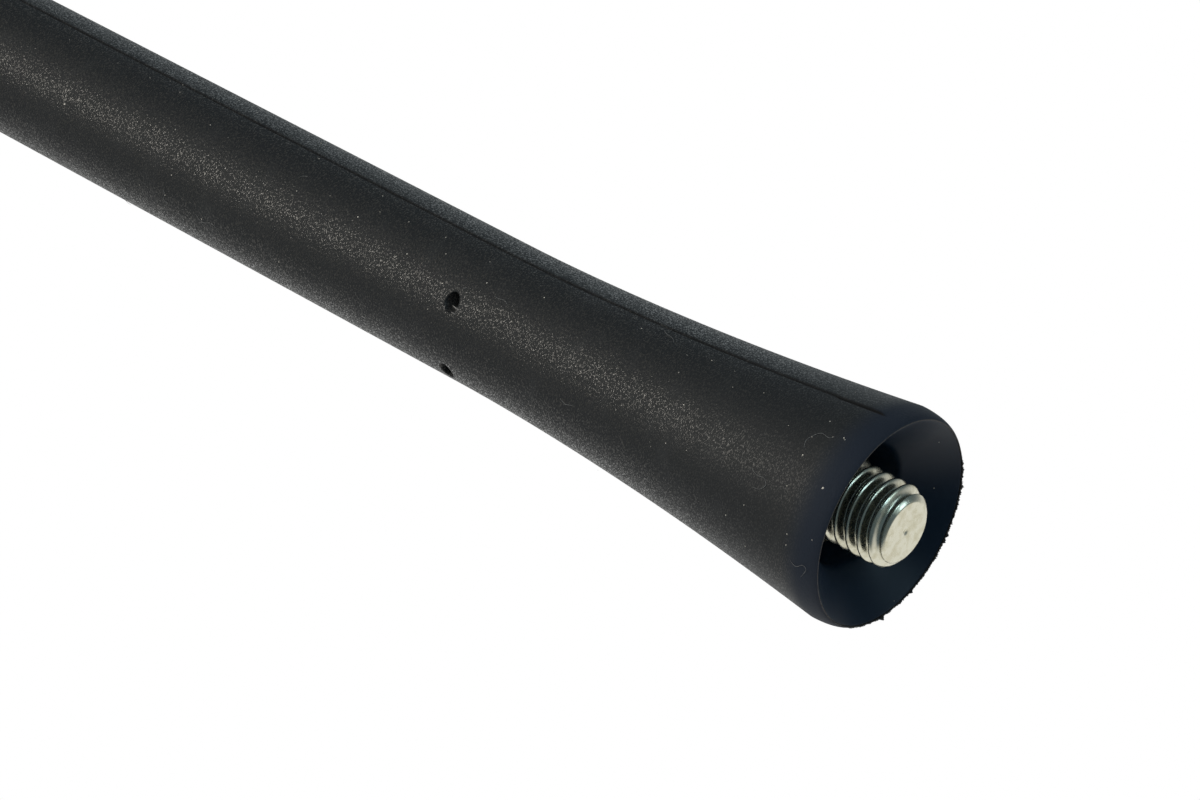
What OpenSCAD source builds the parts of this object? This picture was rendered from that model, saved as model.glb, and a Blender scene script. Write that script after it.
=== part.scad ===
// Car mast aerial: a short rod aerial that screws on to a roof base.
// A threaded terminal, a glass-fibre rod, a graded copper winding and a shrink sleeve
// form the core. An elastomer jacket with a flared skirt is moulded over it.
// Frame: origin at the centre of the skirt's mouth, +Z along the mast to the tip,
// the mould's parting line in the plane y = 0. All lengths are in millimetres.

/* [Mast] */
// Length from the skirt's mouth to the rounded tip
mast_length = 205; // [170:1:320]
// Radius of the jacket just above the flared skirt
shank_r = 5.36; // [5:0.01:6.5]
// Radius of the jacket's rounded tip
tip_r = 4.45; // [4.3:0.01:4.9]
// Thickness of the jacket above the end of the core
tip_cover = 3.5; // [2.5:0.1:3.8]

/* [Skirt] */
// Height of the flare, from the mouth to the straight mast
flare_height = 36; // [28:1:50]
// How far the flare would stand out at the mouth if its lip were left square
flare_reach = 2.9; // [2.4:0.05:3.6]
// Sharpness of the flare: higher keeps the mast slim until nearer the mouth
flare_curve = 1.73; // [1.4:0.01:2.2]
// Radius of the edge where the rounded lip meets the mouth
mouth_r = 7.6; // [7:0.05:7.8]
// Height of the lip's rounding, above the mouth
lip_height = 1.8; // [1:0.1:2.5]
// Depth of the mouth's cone
mouth_depth = 3; // [2:0.1:3.8]
// Radius of the recess behind the cone, round the terminal's collar
recess_r = 4.5; // [4.1:0.05:4.9]
// Depth of that recess, from the mouth to its floor
recess_depth = 7.2; // [6:0.1:8]

/* [Threaded terminal] */
// Outside diameter of the thread
thread_d = 6; // [5:0.1:6.4]
// How far the stud's end stands out of the mouth
thread_proud = 1.35; // [0:0.05:3]
// Chamfer on the stud's end
end_chamfer = 0.45; // [0.2:0.05:0.8]
// Diameter of the turning centre in the stud's end
centre_d = 0.7; // [0.4:0.05:1.2]
// Depth of the turning centre
centre_depth = 0.2; // [0.1:0.05:0.4]
// Diameter of the collar
collar_d = 7.1; // [6.8:0.05:7.9]
// How far inside the mouth the collar's face lies
collar_setback = 4.45; // [4:0.05:5.5]
// Length of the collar
collar_length = 4; // [3.8:0.1:6]
// Chamfer on the edge of the collar's face
collar_chamfer = 0.25; // [0.1:0.05:0.5]
// Diameter of the neck that locks the terminal in the jacket
neck_d = 4.8; // [4.2:0.1:5.4]
// Length of the neck
neck_length = 1.6; // [1:0.1:3]
// Length of the barrel between the neck and the wire's wrap
barrel_length = 12; // [10:0.5:16]
// Number of grip grooves round the barrel
groove_count = 3; // [1:1:4]
// Width of a grip groove
groove_width = 0.8; // [0.4:0.1:1]
// Depth of a grip groove
groove_depth = 0.35; // [0.2:0.05:0.4]
// Depth of the socket for the rod
socket_depth = 12; // [8:0.5:14]
// Wall of the socket where the wire is wrapped round it
socket_wall = 0.4; // [0.3:0.05:0.5]
// Angle of the drill point at the socket's floor
drill_angle = 118; // [90:1:140]

/* [Core] */
// Diameter of the glass-fibre rod
rod_d = 4.5; // [4:0.1:4.6]
// Clearance round the rod in its socket and in the ferrule, filled with adhesive
rod_gap = 0.02; // [0.01:0.01:0.05]
// Diameter of the copper wire
wire_d = 0.5; // [0.4:0.05:0.55]
// Pitch of the winding at its foot
foot_pitch = 5; // [4:0.1:8]
// Pitch of the winding at its head
head_pitch = 2.4; // [1.6:0.1:4]
// Pitch of the turns that are wrapped on the terminal and on the ferrule
wrap_pitch = 1.2; // [1:0.05:1.5]
// Turns wrapped on the terminal, and again on the ferrule
wrap_turns = 1.5; // [1:0.25:2.5]
// Bare metal beside each wrap
wrap_margin = 0.5; // [0.3:0.05:0.8]
// Angle of the solder run at each end of the wire
solder_angle = 80; // [40:5:120]
// How far the solder spreads on each side of the wire
solder_spread = 0.2; // [0.1:0.05:0.25]
// Wall of the shrink sleeve
sleeve_wall = 0.3; // [0.2:0.05:0.35]
// How far the sleeve reaches down over the barrel
sleeve_lap = 2; // [1:0.1:3]
// Length of the ferrule beyond the wire's wrap
ferrule_grip = 3; // [2:0.1:5]
// Thickness of the ferrule's closed end
ferrule_end = 0.8; // [0.5:0.1:1.5]

/* [Moulding pins] */
// Height of the locating pins' holes above the mouth
pin_height = 35.8; // [32:0.1:60]
// Diameter of a locating pin's hole
pin_d = 1.15; // [0.8:0.05:1.3]
// Distance between the two parallel pins of one mould half
pin_spacing = 5.5; // [5:0.1:6]
// Film of jacket that creeps in between a pin's end and the sleeve
pin_film = 0.12; // [0.05:0.01:0.3]

/* [Hidden] */
$fn = 96;

// Steps of each curve in the jacket's outline
lip_steps = 8;
flare_steps = 18;
tip_steps = 14;
// Steps round one turn of the winding, and sides of the wire
turn_steps = 12;
wire_sides = 5;
// Part of a turn over which the wire comes down off the terminal or climbs the ferrule
ramp_turns = 0.5;
// Overshoot of a cut past the surface that it opens
cut_over = 1;

thread_r = thread_d / 2;
collar_r = collar_d / 2;
neck_r = neck_d / 2;
rod_r = rod_d / 2;
wire_r = wire_d / 2;
pin_r = pin_d / 2;

// The wire's straight facets rest on the rod, so its corners stand slightly off it
chord_lift = 1 / cos(180 / turn_steps);
wrap_seat_r = rod_r + rod_gap + socket_wall;
wrap_path_r = wrap_seat_r * chord_lift + wire_r;
rod_path_r = rod_r * chord_lift + wire_r;
wrap_outer_r = wrap_path_r + wire_r;
rod_outer_r = rod_path_r + wire_r;
barrel_r = wrap_outer_r;

// Heights of the terminal's shoulders, from the mouth up
collar_top = collar_setback + collar_length;
barrel_foot = collar_top + neck_length;
barrel_top = barrel_foot + barrel_length;
wrap_length = 2 * wrap_margin + wrap_turns * wrap_pitch + wire_d;
terminal_top = barrel_top + wrap_length;
socket_floor = terminal_top - socket_depth;

// Heights of the ferrule and of the core's upper end
core_top = mast_length - tip_cover;
rod_top = core_top - ferrule_end;
ferrule_foot = core_top - ferrule_grip - wrap_length;

// The winding runs from wind_foot to wind_head, with a wrap below and above it
wire_start = barrel_top + wrap_margin + wire_r;
wind_foot = wire_start + wrap_turns * wrap_pitch;
wind_head = ferrule_foot + wrap_margin + wire_r;
wire_end = wind_head + wrap_turns * wrap_pitch;
wind_turns = 2 * (wind_head - wind_foot) / (foot_pitch + head_pitch);
// Turns that the wire needs to clear the terminal's rim and the ferrule's rim
foot_clear = (wire_d + wrap_margin) / foot_pitch;
head_clear = (wire_d + wrap_margin) / head_pitch;

// The sleeve shrinks from the barrel down to the winding, past the wire's ramp
sleeve_foot = barrel_top - sleeve_lap;
shrink_start = wind_foot + (foot_clear + ramp_turns) * foot_pitch;
shrink_end = shrink_start + 2 * (wrap_outer_r - rod_outer_r) + foot_pitch / 2;
swell_end = wind_head - (head_clear + ramp_turns) * head_pitch;
swell_start = swell_end - 2 * (wrap_outer_r - rod_outer_r) - head_pitch / 2;
sleeve_r = rod_outer_r + sleeve_wall;

// A pin's flat end stops a film short of the sleeve, at the pin's inner edge
pin_offset = pin_spacing / 2;
pin_stop = sqrt(pow(sleeve_r, 2) - pow(pin_offset - pin_r, 2)) + pin_film;

tip_centre = mast_length - tip_r;

// Jacket's radius at height z: a power curve down to the skirt, a plain taper to the tip
function jacket_r(z) =
    z < flare_height
    ? shank_r + flare_reach * pow(1 - z / flare_height, flare_curve)
    : shank_r + (tip_r - shank_r) * (z - flare_height) / (tip_centre - flare_height);

// Lip: a quarter ellipse from the mouth's edge out to the flare
function lip_points() = [
    for (i = [0:lip_steps])
        let (a = 90 * i / lip_steps)
        [
            mouth_r + (jacket_r(lip_height) - mouth_r) * sin(a),
            lip_height * (1 - cos(a))
        ]
];

// Flare: even steps of the power curve, ending where the straight taper begins
function flare_points() = [
    for (i = [1:flare_steps])
        let (z = lip_height + (flare_height - lip_height) * i / flare_steps)
        [jacket_r(z), z]
];

// Tip: a quarter circle that ends on the axis
function tip_points() = [
    for (i = [0:tip_steps])
        let (a = 90 * i / tip_steps)
        [tip_r * cos(a), tip_centre + tip_r * sin(a)]
];

// Rises smoothly from 0 to 1 while t goes from 0 to 1
function ease(t) =
    let (u = max(0, min(1, t)))
    u * u * (3 - 2 * u);

// Height of the wire's centre after n turns: its pitch eases from foot to head
function wire_z(n) =
    let (t = n / wind_turns)
    n < 0 ? wind_foot + wrap_pitch * n
    : n > wind_turns ? wind_head + wrap_pitch * (n - wind_turns)
    : wind_foot + foot_pitch * n
        + (head_pitch - foot_pitch) * wind_turns * (pow(t, 3) - pow(t, 4) / 2);

// Radius of the wire's centre after n turns: wide on both wraps, close on the rod
function wire_path_r(n) =
    let (off_terminal = 1 - ease((n - foot_clear) / ramp_turns))
    let (on_ferrule = ease((n - wind_turns + head_clear + ramp_turns) / ramp_turns))
    rod_path_r + (wrap_path_r - rod_path_r) * max(off_terminal, on_ferrule);

// One corner of the wire's section, which lies in a plane through the mast's axis
function wire_corner(n, j) =
    let (b = 180 + 360 * j / wire_sides)
    let (r = wire_path_r(n) + wire_r * cos(b))
    [r * cos(360 * n), r * sin(360 * n), wire_z(n) + wire_r * sin(b)];

module outer_outline() {
    polygon(concat([[0, 0]], lip_points(), flare_points(), tip_points()));
}

// Mouth: a cone, then the straight recess round the collar
module mouth_outline() {
    polygon([
        [0, -cut_over],
        [mouth_r, -cut_over],
        [mouth_r, 0],
        [recess_r, mouth_depth],
        [recess_r, recess_depth],
        [0, recess_depth]
    ]);
}

module groove_outline() {
    pitch = (barrel_length - sleeve_lap) / (groove_count + 1);
    for (i = [1:groove_count])
        translate([barrel_r - groove_depth, barrel_foot + i * pitch - groove_width / 2])
            square([groove_depth + cut_over, groove_width]);
}

// Terminal's outside: stud, collar, neck, grooved barrel and the wire's seat
module terminal_outline() {
    difference() {
        polygon([
            [0, -thread_proud],
            [thread_r - end_chamfer, -thread_proud],
            [thread_r, end_chamfer - thread_proud],
            [thread_r, collar_setback],
            [collar_r - collar_chamfer, collar_setback],
            [collar_r, collar_setback + collar_chamfer],
            [collar_r, collar_top],
            [neck_r, collar_top],
            [neck_r, barrel_foot],
            [barrel_r, barrel_foot],
            [barrel_r, barrel_top],
            [wrap_seat_r, barrel_top],
            [wrap_seat_r, terminal_top],
            [0, terminal_top]
        ]);
        groove_outline();
    }
}

// Socket for the rod, with its drill point
module socket_outline() {
    socket_r = rod_r + rod_gap;
    polygon([
        [0, socket_floor - socket_r / tan(drill_angle / 2)],
        [socket_r, socket_floor],
        [socket_r, terminal_top + cut_over],
        [0, terminal_top + cut_over]
    ]);
}

// Sleeve's outline at a distance out from the wire: 0 is its inside
module sleeve_outline(wall) {
    polygon([
        [0, sleeve_foot],
        [wrap_outer_r + wall, sleeve_foot],
        [wrap_outer_r + wall, shrink_start],
        [rod_outer_r + wall, shrink_end],
        [rod_outer_r + wall, swell_start],
        [wrap_outer_r + wall, swell_end],
        [wrap_outer_r + wall, core_top],
        [0, core_top]
    ]);
}

// Holes that the mould's locating pins leave, two on each side of the parting line
module pin_holes() {
    for (side = [-1, 1], half = [-1, 1])
        translate([side * pin_offset, 0, pin_height])
            rotate([-90 * half, 0, 0])
                translate([0, 0, pin_stop])
                    cylinder(r = pin_r, h = jacket_r(pin_height));
}

module jacket() {
    color([0.09, 0.09, 0.095])
        difference() {
            rotate_extrude()
                difference() {
                    outer_outline();
                    mouth_outline();
                    terminal_outline();
                    sleeve_outline(sleeve_wall);
                }
            pin_holes();
        }
}

module terminal() {
    color([0.78, 0.76, 0.68])
        rotate_extrude()
            difference() {
                terminal_outline();
                socket_outline();
                translate([0, -thread_proud])
                    polygon([[0, 0], [centre_d / 2, 0], [0, centre_depth]]);
            }
}

module core_rod() {
    color([0.86, 0.84, 0.7])
        translate([0, 0, socket_floor])
            cylinder(r = rod_r, h = rod_top - socket_floor);
}

module winding() {
    total_turns = wind_turns + 2 * wrap_turns;
    rings = ceil(total_turns * turn_steps);
    last = rings * wire_sides;
    points = [
        for (i = [0:rings], j = [0:wire_sides - 1])
            wire_corner(i * total_turns / rings - wrap_turns, j)
    ];
    sides = [
        for (i = [0:rings - 1], j = [0:wire_sides - 1], upper = [0, 1])
            let (k = (j + 1) % wire_sides)
            let (here = i * wire_sides)
            let (next = here + wire_sides)
            upper == 1 ? [here + j, next + k, next + j] : [here + j, here + k, next + k]
    ];
    start_cap = [for (j = [0:wire_sides - 1]) wire_sides - 1 - j];
    end_cap = [for (j = [0:wire_sides - 1]) last + j];
    color([0.72, 0.4, 0.24])
        polyhedron(points = points, faces = concat(sides, [start_cap, end_cap]));
}

// Solder run with sloping shoulders, on the wire's seat, as thick as the wire
module solder_run(z, from_angle) {
    low = z - wire_r - solder_spread;
    high = z + wire_r + solder_spread;
    rotate([0, 0, from_angle])
        rotate_extrude(angle = solder_angle)
            polygon([
                [wrap_seat_r, low],
                [wrap_outer_r, low + solder_spread],
                [wrap_outer_r, high - solder_spread],
                [wrap_seat_r, high]
            ]);
}

module foot_solder() {
    color([0.7, 0.71, 0.72])
        solder_run(wire_start, -360 * wrap_turns - solder_angle);
}

module head_solder() {
    color([0.7, 0.71, 0.72])
        solder_run(wire_end, 360 * (wind_turns + wrap_turns));
}

module end_ferrule() {
    color([0.8, 0.66, 0.36])
        difference() {
            translate([0, 0, ferrule_foot])
                cylinder(r = wrap_seat_r, h = core_top - ferrule_foot);
            translate([0, 0, ferrule_foot - cut_over])
                cylinder(r = rod_r + rod_gap, h = rod_top - ferrule_foot + cut_over);
        }
}

module shrink_sleeve() {
    color([0.2, 0.2, 0.22])
        rotate_extrude()
            difference() {
                sleeve_outline(sleeve_wall);
                sleeve_outline(0);
            }
}

jacket();
terminal();
core_rod();
winding();
foot_solder();
head_solder();
end_ferrule();
shrink_sleeve();
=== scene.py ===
"""Car mast aerial, dressed: grained elastomer jacket, threaded stud in the skirt's mouth.

Lengths are in metres in the part's own frame: the origin is the centre of the skirt's
mouth, +Z runs along the mast to its tip, and the mould's parting line lies in y = 0.
"""

import bpy
import numpy as np
from mathutils import Matrix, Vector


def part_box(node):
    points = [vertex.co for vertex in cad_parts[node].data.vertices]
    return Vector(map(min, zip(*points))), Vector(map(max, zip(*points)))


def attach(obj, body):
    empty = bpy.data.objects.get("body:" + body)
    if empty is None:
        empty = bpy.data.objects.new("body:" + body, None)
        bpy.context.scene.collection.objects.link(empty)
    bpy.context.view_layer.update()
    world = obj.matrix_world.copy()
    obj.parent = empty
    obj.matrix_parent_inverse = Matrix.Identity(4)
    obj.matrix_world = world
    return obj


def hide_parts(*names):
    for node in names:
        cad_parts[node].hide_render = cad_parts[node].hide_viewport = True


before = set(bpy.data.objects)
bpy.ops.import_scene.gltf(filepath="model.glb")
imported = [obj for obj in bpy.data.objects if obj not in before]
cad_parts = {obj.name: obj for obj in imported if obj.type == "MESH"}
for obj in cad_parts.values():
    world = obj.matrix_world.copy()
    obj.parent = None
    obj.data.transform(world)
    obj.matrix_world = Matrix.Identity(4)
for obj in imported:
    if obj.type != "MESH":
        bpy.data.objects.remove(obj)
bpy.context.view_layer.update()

MM = 0.001
TERMINAL_LOW, TERMINAL_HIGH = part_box("terminal")

# Mast and skirt
MAST_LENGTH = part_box("jacket")[1][2]
SHANK_R = 5.36 * MM
TIP_R = 4.45 * MM
FLARE_HEIGHT = 36 * MM
FLARE_REACH = 2.9 * MM
FLARE_CURVE = 1.73
LIP_HEIGHT = 1.8 * MM
MOUTH_R = 7.6 * MM
MOUTH_DEPTH = 3.0 * MM
RECESS_R = 4.5 * MM
RECESS_DEPTH = 7.2 * MM
LIP_ROWS, SKIRT_ROWS, SHANK_ROWS, TIP_ROWS = 17, 60, 130, 20

# Terminal
STUD_END = TERMINAL_LOW[2]
THREAD_R = 3.0 * MM
THREAD_PITCH = 1.0 * MM
THREAD_DEPTH = 0.6 * MM
THREAD_START = 0.3
THREAD_CREST, THREAD_FLANK, THREAD_EASE = 0.05, 0.35, 0.55
THREAD_ROW = 0.035 * MM
RUN_OUT_START, RUN_OUT_END = 0.7 * MM, 0.15 * MM
END_ROUND = 0.85 * MM
END_CURVE = 1.3
END_BLEND = 0.1 * MM
CENTRE_DEPTH = 0.11 * MM
# Radius and rise of the rows on the stud's end, and rise of the first rows beyond them, in mm
FACE_ROWS = (
    (0.08, 0.10), (0.16, 0.07), (0.24, 0.03), (0.32, 0.008), (0.42, 0), (0.9, 0), (1.4, 0),
    (1.6, 0), (1.8, 0), (2.0, 0), (2.1, 0.0004), (2.15, 0.002),
)
FIRST_ROWS = (0.008, 0.018, 0.035, 0.06)
TERMINAL_COLS = 160
COLLAR_R = 3.55 * MM
COLLAR_FACE = 4.45 * MM
COLLAR_TOP = 8.45 * MM
NECK_R = 2.4 * MM
BARREL_FOOT = 10.05 * MM
BARREL_TOP = 22.05 * MM
BARREL_R = 3.26 * MM
GROOVE_COUNT = 3
GROOVE_WIDTH = 0.8 * MM
GROOVE_DEPTH = 0.35 * MM
SEAT_R = 2.67 * MM
SOCKET_R = 2.27 * MM
SOCKET_FLOOR = 13.35 * MM

# Core that the jacket is moulded round
SLEEVE_R = 3.12 * MM
CORE_TOP = 201.5 * MM

# Holes of the mould's locating pins
PIN_HEIGHT = 35.8 * MM
PIN_R = 0.575 * MM
PIN_OFFSET = 2.75 * MM
PIN_STOP = 2.36 * MM
PIN_PATCH = 1.1 * MM
PIN_CELLS = 10
PIN_STRETCH = (1.12, 0.96)
# The rings of cells round a pin's axis, from the centre out: radius over PIN_R, share of the
# circle against the plain grid, and depth under the skin in mm. The first four lie on the floor.
PIN_RING_RADIUS = (0, 0.5, 0.96, 1, 1, 1.07, 1.22, 1.5, 1.7, 1.9, 2.0)
PIN_RING_BLEND = (1, 1, 1, 1, 1, 1, 1, 0.8, 0.45, 0.15, 0)
PIN_RING_SINK = (0, 0, 0, 0, 0.07, 0.015, 0, 0, 0, 0, 0)
PIN_FLOOR_RING = 3

# Parting line: a fine groove with a low step beside it, offset where the lip's insert meets it
SEAM_GROOVE = 0.045 * MM
SEAM_GROOVE_HALF = np.radians(0.65)
SEAM_STEP = 0.05 * MM
# Half width of the painted shade along the groove
SEAM_SHADE_HALF = np.radians(0.8)
SEAM_STEP_REACH = np.radians(11)
SEAM_REACH = np.radians(30)
SEAM_PLAIN = np.radians(5)
SEAM_FOOT_START, SEAM_FOOT_END = 1.1 * MM, 1.9 * MM
SEAM_HEAD_START, SEAM_HEAD_END = 0.198, 0.2045
SEAM_MEAN, SEAM_SWING = 1.15, 0.3
SEAM_COLUMNS = (0.12, 0.35, 0.6, 0.9, 1.6, 3.0)
INSERT_HEIGHT = 5.6 * MM
INSERT_OFFSET = np.radians(0.5)
INSERT_DEEPER = 1.4
SKIRT_DRIFT = np.radians(0.8)

# Torn flash round the mouth's edge. Its height is in mm.
FLASH_COLS = 2880
FLASH_CENTRE = np.radians(25)
FLASH_FADE_START, FLASH_FADE_END = np.radians(60), np.radians(100)
FLASH_LEAST = 0.10
FLASH_BASE, FLASH_COARSE, FLASH_FINE = 0.04, 0.03, 0.05
FLASH_THICK = 0.03 * MM
FLASH_ROOT = 0.05 * MM
TOOTH_HEIGHT, TOOTH_WIDTH = 0.10 * MM, np.radians(0.9)
NUB_HEIGHT, NUB_WIDTH = 0.2 * MM, np.radians(1.5)

# Dust, hairs and the torn flakes at the pin hole
DUST_COUNT = 320
DUST_LEAST, DUST_MOST = 0.035, 0.08
LINT_LIFT, LINT_R = 0.04 * MM, 0.015 * MM
FLAKE_SINK, FLAKE_RISE = 0.03 * MM, 0.1 * MM
FLAKE_TIP, FLAKE_THICK = 0.01 * MM, 0.05 * MM

# Camera of the photograph, in a frame of 1200 x 800 pixels
FRAME_W, FRAME_H = 1200, 800
FOCAL_PX = 8000
SENSOR_MM = 36
MOUTH_PX = (890.4, 523.53)
MOUTH_DISTANCE = 0.53697
AXIS_TO_SIGHT = np.radians(60.672)
AXIS_ROLL = np.radians(27.89)
NEAR_AZIMUTH = np.radians(-51.5)
JACKET_REACH = (0.42, 0.62)
CONE_REACH = (0.50, 0.58)
REACH_STEPS = 4001

# Places taken from the photograph, in its pixels
FLASH_SPIKES_PX = ((964, 463), (964, 487), (958, 540), (915, 596))
FLASH_NUB_PX = (882, 620)
SPECKS_PX = (
    (65, 104, 0.17), (66, 96, 0.10), (268, 197, 0.07), (684, 405, 0.10), (726, 515, 0.11),
    (823, 488, 0.18), (812, 437, 0.08), (598, 470, 0.06), (735, 372, 0.07), (650, 442, 0.07),
    (541, 286, 0.06), (845, 440, 0.08), (802, 456, 0.08), (700, 520, 0.06), (786, 545, 0.08),
    (330, 196, 0.06), (150, 78, 0.06), (212, 150, 0.07), (420, 330, 0.06), (490, 262, 0.06),
    (578, 352, 0.06), (616, 410, 0.08), (760, 480, 0.09), (744, 505, 0.08), (812, 540, 0.06),
    (257, 113, 0.11), (297, 191, 0.09), (358, 217, 0.10), (363, 175, 0.09), (350, 169, 0.07),
    (407, 254, 0.09), (446, 254, 0.09), (423, 207, 0.07), (487, 283, 0.10), (205, 174, 0.09),
    (246, 180, 0.08), (279, 262, 0.09), (803, 455, 0.09), (787, 486, 0.09), (787, 534, 0.09),
    (844, 438, 0.09), (833, 437, 0.07), (428, 309, 0.10), (442.5, 283.5, 0.09), (304, 156, 0.07),
    (319, 159, 0.07), (380, 212, 0.07), (441, 228, 0.06), (186, 159, 0.07), (165, 195, 0.09),
)
CONE_SPECKS_PX = ((939, 442, 0.08), (934, 488, 0.09), (894, 601, 0.08))
LINT_PX = (
    ((804, 449), (806, 441), (813, 436), (822, 434), (829, 438), (835, 437)),
    ((752, 468), (757, 475), (764, 478), (766, 485), (760, 489), (752, 487)),
    ((664, 330), (667, 335), (672, 338), (674, 343)),
    ((494, 296), (499, 299), (505, 301), (508, 306)),
    ((790, 560), (796, 566), (803, 565), (806, 570), (801, 577)),
    ((121, 181), (127, 190), (124, 197), (131, 205)),
    ((196, 214), (203, 222), (212, 223), (218, 231)),
    ((560, 398), (566, 404), (573, 405)),
    ((300, 177), (304, 176.5), (308, 177)),
    ((163, 189), (165, 194), (164, 199), (168, 203)),
    ((195, 222), (196, 228), (199, 232)),
    ((462, 290), (464, 289), (467, 287.5)),
    ((174, 212), (180, 214), (184, 220), (182, 226)),
)
FLAKES_PX = (
    ((444.0, 309.5), (445.5, 305.5), 0.22),
    ((459.0, 310.5), (453.0, 305.5), 0.17),
    ((455.5, 314.5), (451.5, 312.0), 0.14),
)

# Grain of the jacket's outside, and the colours and roughness that go with it, with painted shade at
# the lip and along the parting line
GRAIN_DEPTH = 0.024 * MM
GRAIN_CELLS = 4600.0
GRAIN_STRETCH = (1.0, 1.0, 1.8)
GRAIN_FADE = (0.8 * MM, 24 * MM, 0.45, 1.0)
GRAIN_LOW = (0.0035, 0.005, 0.0065, 1)
GRAIN_RAISED = (0.026, 0.0245, 0.022, 1)
GRAIN_LOW_ROUGH, GRAIN_RAISED_ROUGH = 0.68, 0.29
HAZE = (0.020, 0.0215, 0.023, 1)
HAZE_MOST = 0.3
# Painted shade: a blue-black band in the colour near the lip, standing in for the dim reflection on
# the lip's rounding; the lip is rougher there too
LIP_SHADE_FADE = (1.0 * MM, 3.4 * MM, 1.0, 0.0)
LIP_SHADE_COLOUR = (0.0002, 0.006, 0.018, 1)
LIP_ROUGH = 0.8
# Painted shade of the parting line's groove, darkened into the colour by the mask named seam
SEAM_SHADE_COLOUR = (0.001, 0.001, 0.0015, 1)
SEAM_SHADE_DARKNESS = 0.55

# The mouth's smooth inside
MOUTH_CELLS = 1500.0
MOUTH_GRAIN_DEPTH = 0.01 * MM
MOUTH_DARK = (0.002, 0.008, 0.017, 1)
MOUTH_PALE = (0.005, 0.015, 0.031, 1)
MOUTH_SMOOTH, MOUTH_ROUGH = 0.38, 0.46

# Mottled finishes: noise scale, bright and dull colour, roughness of each, metallic, height in mm
MOTTLED = {
    "elastomer_torn": (9000, (0.010, 0.011, 0.014), (0.034, 0.025, 0.019), 0.5, 0.7, 0, 0.01),
    "elastomer_flake": (9000, (0.05, 0.05, 0.05), (0.16, 0.15, 0.14), 0.4, 0.6, 0, 0.01),
    "dust_pale": (12000, (0.66, 0.62, 0.55), (0.38, 0.36, 0.32), 0.6, 0.9, 0, 0.01),
    "lint_grey": (9000, (0.15, 0.155, 0.155), (0.06, 0.06, 0.062), 0.5, 0.8, 0, 0.005),
    "terminal_plated": (1700, (0.66, 0.655, 0.545), (0.57, 0.55, 0.42), 0.2, 0.3, 1, 0.006),
    "solder_satin": (2500, (0.74, 0.75, 0.77), (0.55, 0.56, 0.58), 0.25, 0.45, 1, 0.02),
    "glass_fibre": (3000, (0.80, 0.77, 0.60), (0.66, 0.62, 0.42), 0.35, 0.55, 0, 0.01),
    "enamelled_copper": (900, (0.82, 0.42, 0.25), (0.62, 0.25, 0.13), 0.18, 0.3, 1, 0.003),
    "turned_brass": (2200, (0.84, 0.66, 0.34), (0.72, 0.54, 0.26), 0.2, 0.35, 1, 0.006),
    "shrunk_film": (500, (0.02, 0.02, 0.021), (0.035, 0.035, 0.037), 0.25, 0.4, 0, 0.01),
}
# Scale of the mottle's pattern along each axis where it is drawn out: a low one stretches it
MOTTLE_STRETCH = {"glass_fibre": (1, 1, 0.03), "turned_brass": (0.1, 0.1, 4)}
# Finish of each node that keeps its solid
INNER_FINISHES = {
    "core_rod": "glass_fibre",
    "winding": "enamelled_copper",
    "foot_solder": "solder_satin",
    "head_solder": "solder_satin",
    "end_ferrule": "turned_brass",
    "shrink_sleeve": "shrunk_film",
}

# Directions below are as the camera sees them: right, up, toward the camera.
# The bright wall behind the object and below it, as it shows in reflections, the dim room
# round it and the corner in which the wall is unlit. The ramps are of the cosine to each side.
WALL_SIDE = (0.25, -0.75, -0.6)
WALL_LEVEL = 0.95
WALL_TINT = (1, 0.985, 0.95)
WALL_RISE = (-0.1, 0.75)
WALL_CUT = (0.0, 0.45, 1.0, 0.0)
ROOM_LEVEL = 0.115
ROOM_TINT = (0.70, 0.97, 1.15)
DARK_CORNER = (0.8, 0.5, 0.3)
CORNER_FALL = (0.35, 0.85, 1.0, 0.15)
SOFT_COLOUR = (0.93, 0.97, 1.0, 1)
SOFT_LEVEL = 0.6
FLOOR_COLOUR = (0.86, 0.86, 0.86, 1)
FLOOR_HALF = 1.5
FLOOR_GAP = 0.2 * MM

# Lamps: name, direction, distance, size, power and colour. They face LAMP_TARGET.
LAMP_TARGET = (0, 0, 30 * MM)
LAMPS = (
    ("key", (-0.801, 0.335, 0.497), 0.9, 0.14, 4.1, (1.0, 0.95, 0.86)),
    ("top_cool", (0.21, 0.64, -0.74), 0.9, 0.7, 0.8, (0.85, 0.96, 1.0)),
    ("under", (-0.30, -0.45, -0.84), 0.9, 0.5, 0.38, (0.93, 0.98, 1.0)),
    ("window", (0.71, 0.27, 0.64), 0.9, 0.32, 0.9, (0.60, 0.87, 1.0)),
    ("window_edge", (0.95, 0.06, 0.28), 0.9, 0.3, 0.6, (0.68, 0.90, 1.0)),
)


def unit(v):
    """The vector's direction, with length 1, along the last axis."""
    v = np.asarray(v, float)
    return v / np.linalg.norm(v, axis=-1, keepdims=True)


def smoothstep(low, high, x):
    """0 below low, 1 above high, with a smooth cubic rise between them."""
    t = np.clip((np.asarray(x, float) - low) / (high - low), 0, 1)
    return t * t * (3 - 2 * t)


def ripple(x, length, waves, seed):
    """A smooth random curve of x, about -1 to 1: a sum of sines that close over length."""
    rng = np.random.default_rng(seed)
    n = np.arange(1, waves + 1)
    swing = rng.normal(size=waves) / np.sqrt(waves)
    start = rng.uniform(0, 2 * np.pi, waves)
    phase = 2 * np.pi * np.asarray(x, float)[..., None] * n / length + start
    return (swing * np.sin(phase)).sum(-1)


# The camera

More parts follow.
